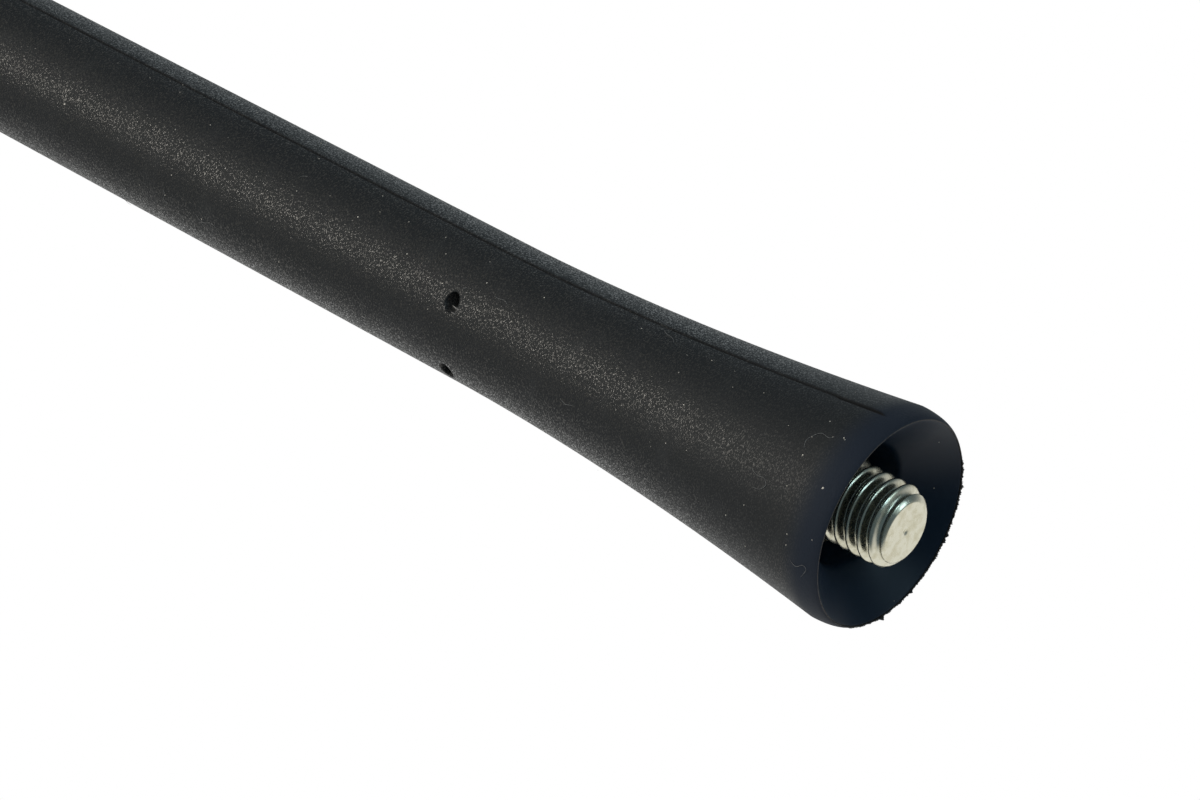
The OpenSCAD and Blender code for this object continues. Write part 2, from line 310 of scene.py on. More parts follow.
def sight_frame():
    """Line of sight, mast's axis and near side's normal, as (right, down, forward).

    The line of sight runs through the mouth's pixel. The mast's axis leaves it at
    AXIS_TO_SIGHT, on the side that AXIS_ROLL gives.
    """
    mouth = np.array(MOUTH_PX) - (FRAME_W / 2, FRAME_H / 2)
    sight = unit([*(mouth / FOCAL_PX), 1])
    across = unit(np.cross([0, 1, 0], sight))
    along = np.cross(sight, across)
    side = -(np.cos(AXIS_ROLL) * across + np.sin(AXIS_ROLL) * along)
    axis = np.cos(AXIS_TO_SIGHT) * sight + np.sin(AXIS_TO_SIGHT) * side
    near = unit(-sight + (sight @ axis) * axis)
    return sight, axis, near


def camera_to_part():
    """3 x 3 turn from (right, down, forward) to the part's frame."""
    sight, axis, near = sight_frame()
    near_part = np.array([np.cos(NEAR_AZIMUTH), np.sin(NEAR_AZIMUTH), 0])
    up_part = np.array([-np.sin(NEAR_AZIMUTH), np.cos(NEAR_AZIMUTH), 0])
    return (
        np.outer(near_part, near)
        + np.outer(up_part, np.cross(axis, near))
        + np.outer([0, 0, 1], axis)
    )


TURN = camera_to_part()


def pixel_ray(px, py):
    """Direction in the part's frame in which the camera sees a pixel, one forward unit long."""
    return TURN @ np.array([(px - FRAME_W / 2) / FOCAL_PX, (py - FRAME_H / 2) / FOCAL_PX, 1.0])


CAMERA_AT = -pixel_ray(*MOUTH_PX) * MOUTH_DISTANCE


def project(points):
    """Pixels at which the camera sees points of the part's frame."""
    seen = (np.asarray(points) - CAMERA_AT) @ TURN
    x = FRAME_W / 2 + FOCAL_PX * seen[..., 0] / seen[..., 2]
    y = FRAME_H / 2 + FOCAL_PX * seen[..., 1] / seen[..., 2]
    return np.stack([x, y], -1)


def seen_direction(right, up, back):
    """A direction given as the camera sees it, turned into the part's frame."""
    return TURN @ np.array([right, -up, -back], float)


def place(thing, right, up, back, at):
    """Puts a camera or a lamp at a point, with its own three axes as given."""
    matrix = np.eye(4)
    matrix[:3, 0], matrix[:3, 1], matrix[:3, 2], matrix[:3, 3] = right, up, back, at
    thing.matrix_world = Matrix(matrix.tolist())


def make_camera():
    """The camera that took the photograph, as far as its picture tells."""
    data = bpy.data.cameras.new("camera")
    data.sensor_width = SENSOR_MM
    data.lens = SENSOR_MM * FOCAL_PX / FRAME_W
    data.clip_start, data.clip_end = 0.01, 20
    camera = bpy.data.objects.new("camera", data)
    bpy.context.scene.collection.objects.link(camera)
    right, up, back = seen_direction(1, 0, 0), seen_direction(0, 1, 0), seen_direction(0, 0, 1)
    place(camera, right, up, back, CAMERA_AT)
    bpy.context.scene.camera = camera


# Meshes

def ring_faces(rows, cols, start=0):
    """Quads of a grid whose columns close into a ring."""
    i, j = np.meshgrid(np.arange(rows - 1), np.arange(cols), indexing="ij")
    k = (j + 1) % cols
    a, b = start + i * cols + j, start + i * cols + k
    return np.stack([a, b, b + cols, a + cols], -1).reshape(-1, 4)


def cap_faces(centre, ring, flip=False):
    """Triangles from one vertex to a closed ring of vertices."""
    after = np.roll(ring, -1)
    first, second = (after, ring) if flip else (ring, after)
    return np.stack([np.full_like(ring, centre), first, second], -1)


def make_piece(name, points, quads, tris, materials, quad_slots=None, values=None):
    """A smooth-shaded mesh object from arrays of points, quads and triangles.

    values holds named numbers, one a point, that materials read as attributes.
    """
    mesh = bpy.data.meshes.new(name)
    quads = np.asarray(quads, np.int32).reshape(-1, 4)
    tris = np.asarray(tris, np.int32).reshape(-1, 3)
    loops = np.concatenate([quads.ravel(), tris.ravel()])
    sizes = np.concatenate([np.full(len(quads), 4), np.full(len(tris), 3)])
    mesh.vertices.add(len(points))
    mesh.vertices.foreach_set("co", np.asarray(points, np.float32).ravel())
    mesh.loops.add(len(loops))
    mesh.loops.foreach_set("vertex_index", loops)
    mesh.polygons.add(len(sizes))
    starts = np.concatenate([[0], np.cumsum(sizes)[:-1]]).astype(np.int32)
    mesh.polygons.foreach_set("loop_start", starts)
    mesh.update(calc_edges=True)
    mesh.polygons.foreach_set("use_smooth", np.ones(len(sizes), bool))
    for material in materials:
        mesh.materials.append(material)
    if quad_slots is not None:
        slots = np.concatenate([quad_slots, np.zeros(len(tris), int)]).astype(np.int32)
        mesh.polygons.foreach_set("material_index", slots)
    for key, numbers in (values or {}).items():
        layer = mesh.attributes.new(key, "FLOAT", "POINT")
        layer.data.foreach_set("value", np.asarray(numbers, np.float32).ravel())
    piece = bpy.data.objects.new(name, mesh)
    bpy.context.scene.collection.objects.link(piece)
    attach(piece, "root")
    return piece


def jacket_radius(z):
    """Outside radius of the jacket: a power curve over the flare, then a plain taper."""
    z = np.asarray(z, float)
    flare = SHANK_R + FLARE_REACH * np.clip(1 - z / FLARE_HEIGHT, 0, 1) ** FLARE_CURVE
    run = (z - FLARE_HEIGHT) / (MAST_LENGTH - TIP_R - FLARE_HEIGHT)
    return np.where(z < FLARE_HEIGHT, flare, SHANK_R + (TIP_R - SHANK_R) * run)


def outside_rows():
    """(radius, height) of the jacket's outside rows, from the mouth's edge to the tip.

    The lip is a quarter ellipse and the tip a quarter circle. The rows stand close
    together beside the pin holes.
    """
    lip = np.radians(np.linspace(0, 90, LIP_ROWS))
    lip_r = MOUTH_R + (jacket_radius(LIP_HEIGHT) - MOUTH_R) * np.sin(lip)
    lip_z = LIP_HEIGHT * (1 - np.cos(lip))
    below = np.linspace(LIP_HEIGHT, PIN_HEIGHT - PIN_PATCH, SKIRT_ROWS)[1:-1]
    patch = PIN_HEIGHT + PIN_PATCH * np.arange(-PIN_CELLS, PIN_CELLS + 1) / PIN_CELLS
    above = np.linspace(PIN_HEIGHT + PIN_PATCH, MAST_LENGTH - TIP_R, SHANK_ROWS)[1:-1]
    shank_z = np.concatenate([below, patch, above])
    tip = np.radians(np.linspace(0, 90, TIP_ROWS)[:-1])
    r = np.concatenate([lip_r, jacket_radius(shank_z), TIP_R * np.cos(tip)])
    z = np.concatenate([lip_z, shank_z, MAST_LENGTH - TIP_R + TIP_R * np.sin(tip)])
    return r, z, len(lip) + len(below)


def inside_rows():
    """(radius, height) from the core's top down the cavity and out to the mouth's edge."""
    hair = 0.03 * MM
    core = np.array([
        [SLEEVE_R, CORE_TOP],
        [SLEEVE_R, BARREL_TOP + 8 * MM],
        [BARREL_R, BARREL_TOP],
        [BARREL_R, BARREL_FOOT],
        [NECK_R, BARREL_FOOT],
        [NECK_R, COLLAR_TOP],
        [COLLAR_R, COLLAR_TOP],
        [COLLAR_R, RECESS_DEPTH + hair],
        [COLLAR_R + hair, RECESS_DEPTH],
        [RECESS_R - 0.2 * MM, RECESS_DEPTH],
        [RECESS_R, RECESS_DEPTH - 0.15 * MM],
        [RECESS_R, RECESS_DEPTH - 1.5 * MM],
        [RECESS_R, MOUTH_DEPTH + 0.7 * MM],
    ])
    # The edge between the recess and the cone is rounded
    bend = np.linspace(0, 1, 9)
    bend_r = RECESS_R + 0.28 * MM * bend**2
    bend_z = MOUTH_DEPTH + 0.27 * MM * (1 - 2 * bend)
    share = np.linspace(0.1, 1, 24)[:-1]
    cone_r = RECESS_R + (MOUTH_R - RECESS_R) * share
    cone_z = MOUTH_DEPTH * (1 - share)
    return np.concatenate([core[:, 0], bend_r, cone_r]), np.concatenate([core[:, 1], bend_z, cone_z])


def quadrant_columns():
    """Angles from 0 to 90 degrees: close at the parting line and even in x at the pins."""
    seam = list(SEAM_COLUMNS)
    x = PIN_OFFSET + PIN_PATCH * np.arange(PIN_CELLS, -PIN_CELLS - 1, -1) / PIN_CELLS
    pins = np.degrees(np.arccos(x / SHANK_R))
    first = np.linspace(seam[-1], pins[0], 16)[1:-1]
    last = np.linspace(pins[-1], 90, 9)[1:-1]
    return np.radians(np.concatenate([seam, first, pins, last])), len(seam) + len(first)


def seam_drift(z):
    """Turn of the parting line round the mast at height z.

    It wanders slowly, drifts one way over the skirt and jumps back at the lip's insert.
    """
    wander = np.radians(0.9) * ripple(z, 0.41, 6, 3) + SKIRT_DRIFT * (1 - smoothstep(0, 0.03, z))
    return wander - INSERT_OFFSET * (1 - smoothstep(INSERT_HEIGHT - 0.1 * MM, INSERT_HEIGHT, z))


def sink_pin_hole(x, y, z, rows, cols, side, half):
    """Shapes one block of the grid into a locating pin's hole.

    The block's square rings become ovals round the pin's axis, slightly wider round the
    mast than along it. From the centre out they are the floor, the wall, the rim and the
    skin round it, which blends into the plain grid at the block's edge.
    """
    n = PIN_CELLS
    i, j = np.meshgrid(np.arange(-n, n + 1), np.arange(-n, n + 1), indexing="ij")
    ring = np.maximum(np.abs(i), np.abs(j))
    block = np.ix_(rows, cols)
    bx, bz = x[block], z[block]
    dx, dz = bx - side * PIN_OFFSET, bz - PIN_HEIGHT
    length = np.hypot(dx, dz)
    length[length == 0] = 1
    share = np.array(PIN_RING_RADIUS)[ring]
    blend = np.array(PIN_RING_BLEND)[ring]
    nx = bx + blend * (side * PIN_OFFSET + PIN_STRETCH[0] * share * PIN_R * dx / length - bx)
    nz = bz + blend * (PIN_HEIGHT + PIN_STRETCH[1] * share * PIN_R * dz / length - bz)
    skin = np.sqrt(jacket_radius(nz) ** 2 - nx**2)
    sink = np.array(PIN_RING_SINK)[ring] * MM
    ny = np.where(ring <= PIN_FLOOR_RING, PIN_STOP, skin - sink)
    x[block], y[block], z[block] = nx, half * ny, nz


def make_jacket(materials):
    """One closed moulding: outside rows, then the mouth and the cavity, over all columns.

    The parting line is a narrow bell-shaped groove on the columns at 0 and 180 degrees.
    The half y > 0 stands up beside it by a low step, which fades away round the mast.
    A mask named seam, a bell as wide as the groove's shade, is kept for the material,
    which paints that shade into its colour.
    """
    quarter, first_pin_col = quadrant_columns()
    angles = np.concatenate([[0], quarter, [np.pi / 2], np.pi - quarter[::-1]])
    angles = np.concatenate([angles, angles + np.pi])
    r_out, z_out, first_patch_row = outside_rows()
    r_in, z_in = inside_rows()

    off_seam = np.abs((angles + np.pi / 2) % np.pi - np.pi / 2)
    share = 1 - smoothstep(SEAM_PLAIN, SEAM_REACH, off_seam)
    a = angles[None, :] + seam_drift(z_out)[:, None] * share[None, :]
    fade = smoothstep(SEAM_FOOT_START, SEAM_FOOT_END, z_out)
    fade = fade * (1 - smoothstep(SEAM_HEAD_START, SEAM_HEAD_END, z_out))
    uneven = SEAM_MEAN + SEAM_SWING * ripple(z_out, 0.03, 9, 11)
    groove = np.exp(-((off_seam / SEAM_GROOVE_HALF) ** 2))
    upper = (np.sin(angles) > 1e-9).astype(float)
    step = upper * np.exp(-((off_seam / SEAM_STEP_REACH) ** 2))
    deep = fade * uneven * (1 + INSERT_DEEPER * (z_out < INSERT_HEIGHT))
    raised = fade[:, None] * SEAM_STEP * step[None, :]
    sunk = deep[:, None] * SEAM_GROOVE * groove[None, :]
    r = r_out[:, None] + (raised - sunk)
    x, y = r * np.cos(a), r * np.sin(a)
    z = np.repeat(z_out[:, None], len(angles), axis=1)

    rows = np.arange(first_patch_row, first_patch_row + 2 * PIN_CELLS + 1)
    pin_cols = 1 + np.arange(first_pin_col, first_pin_col + 2 * PIN_CELLS + 1)
    half_turn = len(angles) // 2
    for side, half, cols in (
        (1, 1, pin_cols),
        (-1, 1, half_turn - pin_cols),
        (-1, -1, half_turn + pin_cols),
        (1, -1, 2 * half_turn - pin_cols),
    ):
        sink_pin_hole(x, y, z, rows, cols, side, half)

    outside = np.stack([x, y, z], -1)[::-1]
    inside = np.stack([
        r_in[:, None] * np.cos(angles),
        r_in[:, None] * np.sin(angles),
        np.repeat(z_in[:, None], len(angles), axis=1),
    ], -1)[::-1]
    grid = np.concatenate([outside, inside])
    n, cols_all = grid.shape[:2]
    points = np.concatenate([grid.reshape(-1, 3), [[0, 0, MAST_LENGTH], [0, 0, CORE_TOP]]])
    quads = ring_faces(n, cols_all)[:, ::-1]
    ring = np.arange(cols_all)
    tris = np.concatenate([
        cap_faces(n * cols_all, ring),
        cap_faces(n * cols_all + 1, ring + (n - 1) * cols_all, True),
    ])
    row = np.repeat(np.arange(n - 1), cols_all)
    slots = (row >= len(outside) - 1).astype(int)
    # Painted shade along the groove: the mask named seam, which darkens the colour
    line = np.exp(-((off_seam / SEAM_SHADE_HALF) ** 2))
    seam = np.zeros(grid.shape[:2])
    seam[: len(outside)] = (deep[:, None] * line[None, :])[::-1]
    seam = np.concatenate([seam.ravel(), [0, 0]])
    return make_piece("jacket_skin", points, quads, tris, materials, slots, {"seam": seam})


def mouth_ring_angle(px, py):
    """Angle on the mouth's edge that the camera sees nearest to a pixel."""
    a = np.linspace(-np.pi, np.pi, 7200, endpoint=False)
    edge = np.stack([MOUTH_R * np.cos(a), MOUTH_R * np.sin(a), 0 * a], -1)
    return a[np.argmin(np.linalg.norm(project(edge) - [px, py], axis=-1))]


def turn_between(a, b):
    """Angle from b to a, between -180 and 180 degrees."""
    return (a - b + np.pi) % (2 * np.pi) - np.pi


def make_mouth_flash(materials):
    """Torn flash round the mouth's edge: a thin closed fin whose height varies in teeth.

    Height is a smooth mask, strongest on the side away from the camera, times rectified
    random ripples, plus a narrow bell for each long tooth and a wide one for the nub.
    """
    cols = FLASH_COLS
    a = np.linspace(-np.pi, np.pi, cols, endpoint=False)
    away = np.abs(turn_between(a, NEAR_AZIMUTH + np.pi + FLASH_CENTRE))
    mask = FLASH_LEAST + (1 - FLASH_LEAST) * (1 - smoothstep(FLASH_FADE_START, FLASH_FADE_END, away))
    turn = 2 * np.pi
    coarse = np.abs(ripple(a, turn, 130, 21))
    fine = np.abs(ripple(a, turn, 420, 22))
    height = mask * (FLASH_BASE + FLASH_COARSE * coarse + FLASH_FINE * fine) * MM
    for spike in FLASH_SPIKES_PX:
        off = turn_between(a, mouth_ring_angle(*spike))
        height += TOOTH_HEIGHT * np.exp(-((off / TOOTH_WIDTH) ** 2))
    off = turn_between(a, mouth_ring_angle(*FLASH_NUB_PX))
    height += NUB_HEIGHT * np.exp(-((off / NUB_WIDTH) ** 2))
    lean = (0.45 + 0.2 * ripple(a, turn, 40, 23)) * height
    thick, root = FLASH_THICK, FLASH_ROOT
    section = [
        (MOUTH_R - root, 0 * a + root),
        (MOUTH_R - thick + 0.4 * lean, -0.5 * height),
        (MOUTH_R - 0.3 * thick + lean, -height),
        (MOUTH_R + 0.3 * thick + lean, -height),
        (MOUTH_R + thick + 0.6 * lean, -0.45 * height),
        (MOUTH_R + root, 0 * a + 0.6 * root),
    ]
    r = np.array([r + 0 * a for r, z in section])
    z = np.array([z for r, z in section])
    grid = np.stack([r * np.cos(a), r * np.sin(a), z], -1)
    n = len(section)
    quads = ring_faces(n + 1, cols)
    quads = np.where(quads >= n * cols, quads - n * cols, quads)
    return make_piece("mouth_flash", grid.reshape(-1, 3), quads, [], materials)


def thread_radius(z, angle):
    """Radius of the threaded stud: a right-hand 60 degree thread with softened corners.

    The phase along the helix gives the depth: none on the crest's tenth of a pitch, then
    down the flank, full in the root's fifth, with both corners eased by a sine. The end's
    chamfer, a quarter superellipse of exponent END_CURVE, is joined by a smooth minimum.
    """
    phase = (z / THREAD_PITCH - angle / (2 * np.pi) + THREAD_START) % 1.0
    off_crest = np.minimum(phase, 1 - phase)
    flank = np.clip((off_crest - THREAD_CREST) / THREAD_FLANK, 0, 1)
    eased = flank - THREAD_EASE * np.sin(2 * np.pi * flank) / (2 * np.pi)
    run_out = 1 - smoothstep(COLLAR_FACE - RUN_OUT_START, COLLAR_FACE - RUN_OUT_END, z)
    r = THREAD_R - THREAD_DEPTH * eased * run_out
    climb = np.clip((z - STUD_END) / END_ROUND, 0, 1)
    bevel = THREAD_R - END_ROUND * (1 - (1 - (1 - climb) ** END_CURVE) ** (1 / END_CURVE))
    bevel = bevel + (climb >= 1) * (z - STUD_END - END_ROUND)
    d = np.clip(0.5 + 0.5 * (bevel - r) / END_BLEND, 0, 1)
    return bevel * (1 - d) + r * d - END_BLEND * d * (1 - d)


def make_terminal(materials):
    """The turned terminal as one closed surface, from the stud's end to its socket.

    Each row is a circle, but on the stud its radius follows the thread's round the axis.
    """
    cols = TERMINAL_COLS
    angles = np.linspace(0, 2 * np.pi, cols, endpoint=False)
    face = np.array(FACE_ROWS) * MM
    rows_r = [np.full(cols, r) for r in face[:, 0]]
    rows_z = [np.full(cols, STUD_END + z) for z in face[:, 1]]
    first = STUD_END + np.array(FIRST_ROWS) * MM
    stud = np.arange(STUD_END + 0.09 * MM, COLLAR_FACE - 0.03 * MM, THREAD_ROW)
    for z in np.concatenate([first, stud]):
        rows_r.append(thread_radius(z, angles))
        rows_z.append(np.full(cols, z))
    hair = 0.02 * MM
    rest = [
        [THREAD_R, COLLAR_FACE - hair],
        [THREAD_R + hair, COLLAR_FACE],
        [COLLAR_R - 0.27 * MM, COLLAR_FACE],
        [COLLAR_R - 0.23 * MM, COLLAR_FACE + hair],
        [COLLAR_R - hair, COLLAR_FACE + 0.23 * MM],
        [COLLAR_R, COLLAR_FACE + 0.27 * MM],
        [COLLAR_R, COLLAR_TOP - hair],
        [COLLAR_R - hair, COLLAR_TOP],
        [NECK_R, COLLAR_TOP],
        [NECK_R, BARREL_FOOT],
        [BARREL_R, BARREL_FOOT],
    ]
    step = (BARREL_TOP - BARREL_FOOT) / (GROOVE_COUNT + 1)
    for k in range(1, GROOVE_COUNT + 1):
        middle = BARREL_FOOT + k * step
        low, high = middle - GROOVE_WIDTH / 2, middle + GROOVE_WIDTH / 2
        floor_r = BARREL_R - GROOVE_DEPTH
        rest += [[BARREL_R, low], [floor_r, low], [floor_r, high], [BARREL_R, high]]
    rest += [
        [BARREL_R, BARREL_TOP],
        [SEAT_R, BARREL_TOP],
        [SEAT_R, TERMINAL_HIGH[2]],
        [SOCKET_R, TERMINAL_HIGH[2]],
        [SOCKET_R, SOCKET_FLOOR],
    ]
    for r, z in rest:
        rows_r.append(np.full(cols, r))
        rows_z.append(np.full(cols, z))
    r, z = np.array(rows_r), np.array(rows_z)
    grid = np.stack([r * np.cos(angles), r * np.sin(angles), z], -1)
    n = len(grid)
    ends = [[0, 0, STUD_END + CENTRE_DEPTH], [0, 0, SOCKET_FLOOR - 1.3 * MM]]
    points = np.concatenate([grid.reshape(-1, 3), ends])
    ring = np.arange(cols)
    tris = np.concatenate([
        cap_faces(n * cols, ring, True),
        cap_faces(n * cols + 1, ring + (n - 1) * cols),
    ])
    return make_piece("terminal_turned", points, ring_faces(n, cols), tris, materials)


def jacket_spot(px, py):
    """Point and outward normal where the camera's ray through a pixel first meets the jacket."""
    reach = np.linspace(*JACKET_REACH, REACH_STEPS)
    ray = CAMERA_AT + reach[:, None] * pixel_ray(px, py)
    inside = np.hypot(ray[:, 0], ray[:, 1]) - jacket_radius(np.maximum(ray[:, 2], LIP_HEIGHT))
    hit = np.argmax(inside < 0) if (inside < 0).any() else np.argmin(inside)
    point = ray[hit]
    return point, unit([point[0], point[1], 0])


def cone_spot(px, py):
    """Point and normal where the camera's ray through a pixel meets the mouth's cone."""
    reach = np.linspace(*CONE_REACH, REACH_STEPS)
    ray = CAMERA_AT + reach[:, None] * pixel_ray(px, py)
    radius = np.hypot(ray[:, 0], ray[:, 1])
    cone = MOUTH_R - (MOUTH_R - RECESS_R) * ray[:, 2] / MOUTH_DEPTH
    within = (ray[:, 2] > 0) & (ray[:, 2] < MOUTH_DEPTH)
    point = ray[np.argmax(within & (radius > cone))]
    outward = unit([point[0], point[1], 0])
    return point, unit(-MOUTH_DEPTH * outward - (MOUTH_R - RECESS_R) * np.array([0, 0, 1]))


def join_arrays(parts):
    """One set of points, quads and triangles from several, with their indices shifted."""
    points, quads, tris, start = [], [], [], 0
    for p, q, t in parts:
        points.append(p)
        quads.append(q + start)
        tris.append(t + start)
        start += len(p)
    return np.concatenate(points), np.concatenate(quads), np.concatenate(tris)


def thread_of_lint(route, lift, radius, seed):
    """A hair: a tube along a smooth curve through the route's points, thin at both ends.

    The curve is a cubic through the points, and it stands off the skin by lift, more in
    the middle. The section is a pentagon in the plane across the curve.
    """
    spots = [jacket_spot(*p) for p in route]
    at = np.array([s[0] for s in spots])
    out = np.array([s[1] for s in spots])
    t = np.linspace(0, len(at) - 1, 6 * len(at))
    k = np.clip(np.floor(t).astype(int), 0, len(at) - 2)
    u = (t - k)[:, None]
    p0, p1 = at[np.maximum(k - 1, 0)], at[k]
    p2, p3 = at[k + 1], at[np.minimum(k + 2, len(at) - 1)]
    path = 0.5 * (2 * p1 + (p2 - p0) * u + (2 * p0 - 5 * p1 + 4 * p2 - p3) * u**2
                  + (3 * p1 - p0 - 3 * p2 + p3) * u**3)
    normal = unit(out[k] * (1 - u) + out[k + 1] * u)
    along = np.linspace(0, 1, len(path))
    rise = lift * (0.4 + np.sin(np.pi * along) * (1 + 0.6 * ripple(along, 1, 3, seed)))
    path = path + normal * rise[:, None]
    forward = unit(np.gradient(path, axis=0))
    across = unit(np.cross(forward, normal))
    upward = np.cross(across, forward)
    wide = radius * (0.35 + 0.65 * np.sin(np.pi * np.clip(along, 0.02, 0.98)) ** 0.5)
    b = 2 * np.pi * np.arange(5) / 5
    sideways = np.cos(b)[None, :, None] * across[:, None, :]
    ring = sideways + np.sin(b)[None, :, None] * upward[:, None, :]
    grid = path[:, None, :] + wide[:, None, None] * ring
    n = len(path)
    points = np.concatenate([grid.reshape(-1, 3), path[:1], path[-1:]])
    tris = np.concatenate([
        cap_faces(n * 5, np.arange(5), True),
        cap_faces(n * 5 + 1, np.arange(5) + (n - 1) * 5),
    ])
    return points, ring_faces(n, 5), tris


def speck(at, normal, size, rng):
    """A grain of dust: a lumpy flattened ball, sunk a little into the skin."""
    across = unit(np.cross(normal, [0.3, 0.5, 0.8]))
    along = np.cross(normal, across)
    polar = np.radians(np.array([30, 65, 100, 140]))[:, None]
    turn = (2 * np.pi * np.arange(7) / 7)[None, :]
    lump = 1 + 0.25 * rng.normal(size=(4, 7))
    shape = size / 2 * np.array([rng.uniform(0.7, 1.3), rng.uniform(0.6, 1.0), rng.uniform(0.4, 0.6)])
    u = shape[0] * lump * np.sin(polar) * np.cos(turn)
    v = shape[1] * lump * np.sin(polar) * np.sin(turn)
    w = shape[2] * (np.cos(polar) + 0 * turn)
    base = at + normal * shape[2] * 0.5
    grid = base + u[..., None] * across + v[..., None] * along + w[..., None] * normal
    poles = [base + normal * shape[2], base - normal * shape[2]]
    points = np.concatenate([grid.reshape(-1, 3), poles])
    ring = np.arange(7)
    tris = np.concatenate([cap_faces(28, ring), cap_faces(29, ring + 21, True)])
    return points, ring_faces(4, 7)[:, ::-1], tris


def make_dust(materials):
    """Dust grains: those seen in the photograph, and a seeded scatter over the whole jacket."""
    rng = np.random.default_rng(5)
    grains = []
    for px, py, size in SPECKS_PX:
        at, normal = jacket_spot(px, py)
        grains.append(speck(at, normal, size * MM, rng))
    for px, py, size in CONE_SPECKS_PX:
        at, normal = cone_spot(px, py)
        grains.append(speck(at, normal, size * MM, rng))
    for _ in range(DUST_COUNT):
        z = rng.uniform(3 * MM, MAST_LENGTH - TIP_R)
        turn = rng.uniform(0, 2 * np.pi)
        normal = np.array([np.cos(turn), np.sin(turn), 0])
        at = jacket_radius(z) * normal + [0, 0, z]
        grains.append(speck(at, normal, rng.uniform(DUST_LEAST, DUST_MOST) * MM, rng))
    return make_piece("dust_specks", *join_arrays(grains), materials)


def make_lint(materials):
    """The hairs that the photograph shows, each a tube along its route."""
    hairs = [thread_of_lint(route, LINT_LIFT, LINT_R, 40 + k) for k, route in enumerate(LINT_PX)]
    return make_piece("lint_fibres", *join_arrays(hairs), materials)


def flake(foot_px, tip_px, width):
    """A torn flake at a hole's rim: a closed blade from its foot on the skin to its tip.

    It starts under the skin and arches over it by a sine. Its section is an ellipse that
    narrows to the tip by a power curve.
    """
    foot, normal = jacket_spot(*foot_px)
    tip, _ = jacket_spot(*tip_px)
    forward = tip - foot
    across = unit(np.cross(normal, forward))
    along = np.linspace(0, 1, 6)
    arch = normal * FLAKE_RISE * np.sin(2 * along)[:, None]
    middle = foot + along[:, None] * forward - normal * FLAKE_SINK + arch
    wide = width * MM / 2 * (1 - along) ** 0.7 + FLAKE_TIP
    thick = FLAKE_THICK * (1 - 0.7 * along)
    b = 2 * np.pi * np.arange(8) / 8
    grid = (middle[:, None, :]
            + (wide[:, None] * np.cos(b))[..., None] * across
            + (thick[:, None] * np.sin(b))[..., None] * normal)
    points = np.concatenate([grid.reshape(-1, 3), middle[:1], middle[-1:]])
    ring = np.arange(8)
    tris = np.concatenate([cap_faces(48, ring), cap_faces(49, ring + 40, True)])
    return points, ring_faces(6, 8)[:, ::-1], tris


def make_flakes(materials):
    """The torn flakes at the near pin hole, as one piece."""
    return make_piece("pin_hole_flash", *join_arrays([flake(*f) for f in FLAKES_PX]), materials)


# Materials

def node(tree, kind, inputs=None, **settings):
    """A shader node with its settings, and with unlinked inputs set by name or number."""
    made = tree.nodes.new(kind)
    for key, value in settings.items():
        setattr(made, key, value)
    for key, value in (inputs or {}).items():
        made.inputs[key].default_value = value
    return made


def wire(tree, links):
    """Links outputs to inputs, each link given as node, output, node, input."""
    for source, output, target, entry in links:
        tree.links.new(source.outputs[output], target.inputs[entry])


def new_material(name, **sockets):
    """A material whose Principled shader has the given socket values."""
    material = bpy.data.materials.new(name)
    material.use_nodes = True
    tree = material.node_tree
    shader = tree.nodes["Principled BSDF"]
    for key, value in sockets.items():
        shader.inputs[key.replace("_", " ")].default_value = value
    return material, tree, shader


def new_group(name, inputs, outputs):
    """A shader node group whose sockets are given as (name, kind) pairs."""
    group = bpy.data.node_groups.new(name, "ShaderNodeTree")
    for key, kind in inputs:
        group.interface.new_socket(key, in_out="INPUT", socket_type="NodeSocket" + kind)
    for key, kind in outputs:
        group.interface.new_socket(key, in_out="OUTPUT", socket_type="NodeSocket" + kind)
    return group, group.nodes.new("NodeGroupInput"), group.nodes.new("NodeGroupOutput")


def ramp(tree, low, high, to_low=0.0, to_high=1.0):
    """A Map Range node with a smooth rise between two values."""
    return node(tree, "ShaderNodeMapRange", {
        "From Min": low, "From Max": high, "To Min": to_low, "To Max": to_high,
    }, interpolation_type="SMOOTHSTEP")


def grain_group():
    """Spark-eroded mould grain: rounded pits and finer noise, and a mask of raised spots.

    Height is smooth cell distance plus weighted noise, times Fade. Raised is a sharp ramp
    of that noise, and Drift a broad noise.
    """
    group, source, sink = new_group(
        "mould_grain",
        [("Vector", "Vector"), ("Cell Scale", "Float"), ("Fade", "Float")],
        [("Height", "Float"), ("Raised", "Float"), ("Drift", "Float")],
    )
    cells = node(group, "ShaderNodeTexVoronoi", {"Smoothness": 0.5}, feature="SMOOTH_F1")
    fine = node(group, "ShaderNodeTexNoise", {"Detail": 2.0, "Roughness": 0.6})
    broad = node(group, "ShaderNodeTexNoise", {"Scale": 260.0, "Detail": 3.0})
    scale = node(group, "ShaderNodeMath", {1: 1.35}, operation="MULTIPLY")
    weight = node(group, "ShaderNodeMath", {1: 1.5}, operation="MULTIPLY")
    add = node(group, "ShaderNodeMath", operation="ADD")
    fade = node(group, "ShaderNodeMath", operation="MULTIPLY")
    raised = ramp(group, 0.53, 0.60)
    wire(group, (
        (source, "Vector", cells, "Vector"),
        (source, "Vector", fine, "Vector"),
        (source, "Vector", broad, "Vector"),
        (source, "Cell Scale", cells, "Scale"),
        (source, "Cell Scale", scale, 0),
        (scale, 0, fine, "Scale"),
        (fine, "Fac", weight, 0),
        (weight, 0, add, 0),
        (cells, "Distance", add, 1),
        (add, 0, fade, 0),
        (source, "Fade", fade, 1),
        (fade, 0, sink, "Height"),
        (fine, "Fac", raised, "Value"),
        (raised, 0, sink, "Raised"),
        (broad, "Fac", sink, "Drift"),
    ))
    return group


